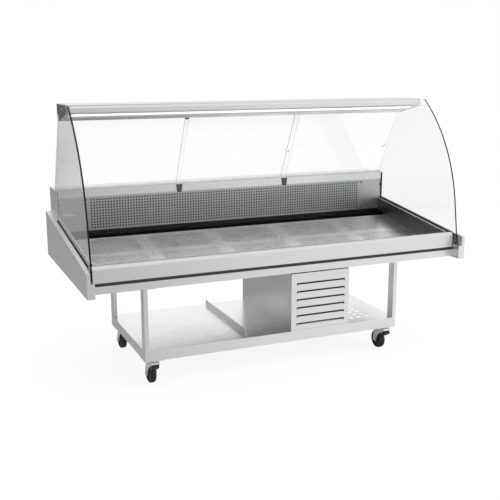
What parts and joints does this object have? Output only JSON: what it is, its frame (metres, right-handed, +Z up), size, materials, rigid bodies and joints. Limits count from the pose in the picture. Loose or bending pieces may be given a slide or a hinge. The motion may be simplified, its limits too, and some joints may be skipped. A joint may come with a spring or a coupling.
{
  "type": "fish display case",
  "caption": "Chilled fish display case on a castor trolley, with a sloping perforated deck, curved glass, a lit canopy and sliding rear doors.",
  "frame": {"origin": "on the floor, under the middle of the case", "axes": "+X along the counter to the customer's right, +Y to the staff side, +Z up"},
  "size_m": [2, 0.96, 1.34],
  "materials": {
    "stainless_sheet": "satin",
    "polished_sheet": "polished",
    "aluminium_profile": "satin",
    "clear_glass": "polished",
    "clear_door_pane": "polished",
    "black_rubber": "matte",
    "black_wheel": "satin",
    "black_plastic": "satin",
    "grey_plastic": "satin",
    "opal_plastic": "satin",
    "white_board": "matte",
    "zinc_plate": "satin",
    "coil_aluminium": "satin",
    "copper_pipe": "satin",
    "black_enamel": "satin",
    "cream_foam": "matte"
  },
  "bodies": {
    "case": {"base_rails": "stainless_sheet", "legs": "stainless_sheet", "bottom_shelf": "stainless_sheet", "unit_cover": "stainless_sheet", "louvre_panel": "stainless_sheet", "tank_shell": "stainless_sheet", "basin_liner": "stainless_sheet", "left_cheek": "stainless_sheet", "right_cheek": "stainless_sheet", "front_fascia": "stainless_sheet", "front_lower_rail": "stainless_sheet", "canopy_shell": "stainless_sheet", "tower_end_panels": "stainless_sheet", "evaporator_grille": "stainless_sheet", "grille_end_panels": "stainless_sheet", "tower_rear_panel": "stainless_sheet", "worktop": "polished_sheet", "glass_hinge_bar": "aluminium_profile", "door_bottom_track": "aluminium_profile", "door_top_track": "aluminium_profile", "left_side_glass": "clear_glass", "right_side_glass": "clear_glass", "glass_gaskets": "black_rubber", "canopy_end_caps": "grey_plastic", "worktop_clips": "grey_plastic", "lamp_diffuser": "opal_plastic", "led_strip": "white_board", "castor_plates": "zinc_plate", "condenser_fan_shroud": "zinc_plate", "evaporator_fan_plate": "zinc_plate", "condenser_coil": "coil_aluminium", "evaporator_coil": "coil_aluminium", "refrigerant_pipes": "copper_pipe", "compressor": "black_enamel", "tank_foam": "cream_foam", "drain_spigot": "black_plastic"},
    "lifting_front_glass": {"front_glass": "clear_glass", "glass_clamp": "aluminium_profile"},
    "sliding_door_left": {"door_left": "clear_door_pane"},
    "sliding_door_middle": {"door_middle": "clear_door_pane"},
    "sliding_door_right": {"door_right": "clear_door_pane"},
    "lift_out_plate_1": {"deck_plate_1": "stainless_sheet"},
    "lift_out_plate_2": {"deck_plate_2": "stainless_sheet"},
    "lift_out_plate_3": {"deck_plate_3": "stainless_sheet"},
    "lift_out_plate_4": {"deck_plate_4": "stainless_sheet"},
    "lift_out_plate_5": {"deck_plate_5": "stainless_sheet"},
    "condenser_fan_rotor": {"condenser_fan": "black_plastic"},
    "evaporator_fan_left_rotor": {"evaporator_fan_left": "black_plastic"},
    "evaporator_fan_right_rotor": {"evaporator_fan_right": "black_plastic"},
    "castor_swivel_front_left": {"castor_fork_front_left": "zinc_plate"},
    "castor_roller_front_left": {"castor_wheel_front_left": "black_wheel"},
    "brake_front_left": {"brake_pedal_front_left": "black_plastic"},
    "castor_swivel_front_right": {"castor_fork_front_right": "zinc_plate"},
    "castor_roller_front_right": {"castor_wheel_front_right": "black_wheel"},
    "brake_front_right": {"brake_pedal_front_right": "black_plastic"},
    "castor_swivel_rear_left": {"castor_fork_rear_left": "zinc_plate"},
    "castor_roller_rear_left": {"castor_wheel_rear_left": "black_wheel"},
    "castor_swivel_rear_right": {"castor_fork_rear_right": "zinc_plate"},
    "castor_roller_rear_right": {"castor_wheel_rear_right": "black_wheel"},
    "rocker": {"power_switch": "black_plastic"}
  },
  "joints": [
    {"name": "front_glass_lift", "type": "hinge", "parent": "case", "child": "lifting_front_glass", "pos_m": [0, -0.066, 1.331], "axis": [-1, 0, 0], "range_deg": [0, 65]},
    {"name": "door_left_slide", "type": "slide", "parent": "case", "child": "sliding_door_left", "axis": [1, 0, 0], "range_m": [0, 1.266]},
    {"name": "door_middle_slide", "type": "slide", "parent": "case", "child": "sliding_door_middle", "axis": [1, 0, 0], "range_m": [-0.633, 0.633]},
    {"name": "door_right_slide", "type": "slide", "parent": "case", "child": "sliding_door_right", "axis": [1, 0, 0], "range_m": [-1.266, 0]},
    {"name": "deck_plate_1_lift", "type": "slide", "parent": "case", "child": "lift_out_plate_1", "axis": [0, 0, 1], "range_m": [0, 0.15]},
    {"name": "deck_plate_2_lift", "type": "slide", "parent": "case", "child": "lift_out_plate_2", "axis": [0, 0, 1], "range_m": [0, 0.15]},
    {"name": "deck_plate_3_lift", "type": "slide", "parent": "case", "child": "lift_out_plate_3", "axis": [0, 0, 1], "range_m": [0, 0.15]},
    {"name": "deck_plate_4_lift", "type": "slide", "parent": "case", "child": "lift_out_plate_4", "axis": [0, 0, 1], "range_m": [0, 0.15]},
    {"name": "deck_plate_5_lift", "type": "slide", "parent": "case", "child": "lift_out_plate_5", "axis": [0, 0, 1], "range_m": [0, 0.15]},
    {"name": "condenser_fan_spin", "type": "hinge", "parent": "case", "child": "condenser_fan_rotor", "pos_m": [0.243, -0.21, 0.335], "axis": [0, 1, 0], "continuous": true},
    {"name": "evaporator_fan_left_spin", "type": "hinge", "parent": "case", "child": "evaporator_fan_left_rotor", "pos_m": [-0.4, 0.354, 0.766], "axis": [0, 1, 0], "continuous": true},
    {"name": "evaporator_fan_right_spin", "type": "hinge", "parent": "case", "child": "evaporator_fan_right_rotor", "pos_m": [0.4, 0.354, 0.766], "axis": [0, 1, 0], "continuous": true},
    {"name": "castor_front_left_swivel", "type": "hinge", "parent": "case", "child": "castor_swivel_front_left", "pos_m": [-0.65, -0.262, 0.13], "axis": [0, 0, 1], "continuous": true},
    {"name": "castor_front_left_roll", "type": "hinge", "parent": "castor_swivel_front_left", "child": "castor_roller_front_left", "pos_m": [-0.65, -0.224, 0.05], "axis": [1, 0, 0], "continuous": true},
    {"name": "brake_front_left_press", "type": "hinge", "parent": "castor_swivel_front_left", "child": "brake_front_left", "pos_m": [-0.65, -0.284, 0.112], "axis": [1, 0, 0], "range_deg": [0, 16]},
    {"name": "castor_front_right_swivel", "type": "hinge", "parent": "case", "child": "castor_swivel_front_right", "pos_m": [0.65, -0.262, 0.13], "axis": [0, 0, 1], "continuous": true},
    {"name": "castor_front_right_roll", "type": "hinge", "parent": "castor_swivel_front_right", "child": "castor_roller_front_right", "pos_m": [0.65, -0.224, 0.05], "axis": [1, 0, 0], "continuous": true},
    {"name": "brake_front_right_press", "type": "hinge", "parent": "castor_swivel_front_right", "child": "brake_front_right", "pos_m": [0.65, -0.284, 0.112], "axis": [1, 0, 0], "range_deg": [0, 16]},
    {"name": "castor_rear_left_swivel", "type": "hinge", "parent": "case", "child": "castor_swivel_rear_left", "pos_m": [-0.65, 0.288, 0.13], "axis": [0, 0, 1], "continuous": true},
    {"name": "castor_rear_left_roll", "type": "hinge", "parent": "castor_swivel_rear_left", "child": "castor_roller_rear_left", "pos_m": [-0.65, 0.326, 0.05], "axis": [1, 0, 0], "continuous": true},
    {"name": "castor_rear_right_swivel", "type": "hinge", "parent": "case", "child": "castor_swivel_rear_right", "pos_m": [0.65, 0.288, 0.13], "axis": [0, 0, 1], "continuous": true},
    {"name": "castor_rear_right_roll", "type": "hinge", "parent": "castor_swivel_rear_right", "child": "castor_roller_rear_right", "pos_m": [0.65, 0.326, 0.05], "axis": [1, 0, 0], "continuous": true},
    {"name": "power_switch_rock", "type": "hinge", "parent": "case", "child": "rocker", "pos_m": [0.7, 0.469, 0.83], "axis": [1, 0, 0], "range_deg": [0, 16]}
  ]
}
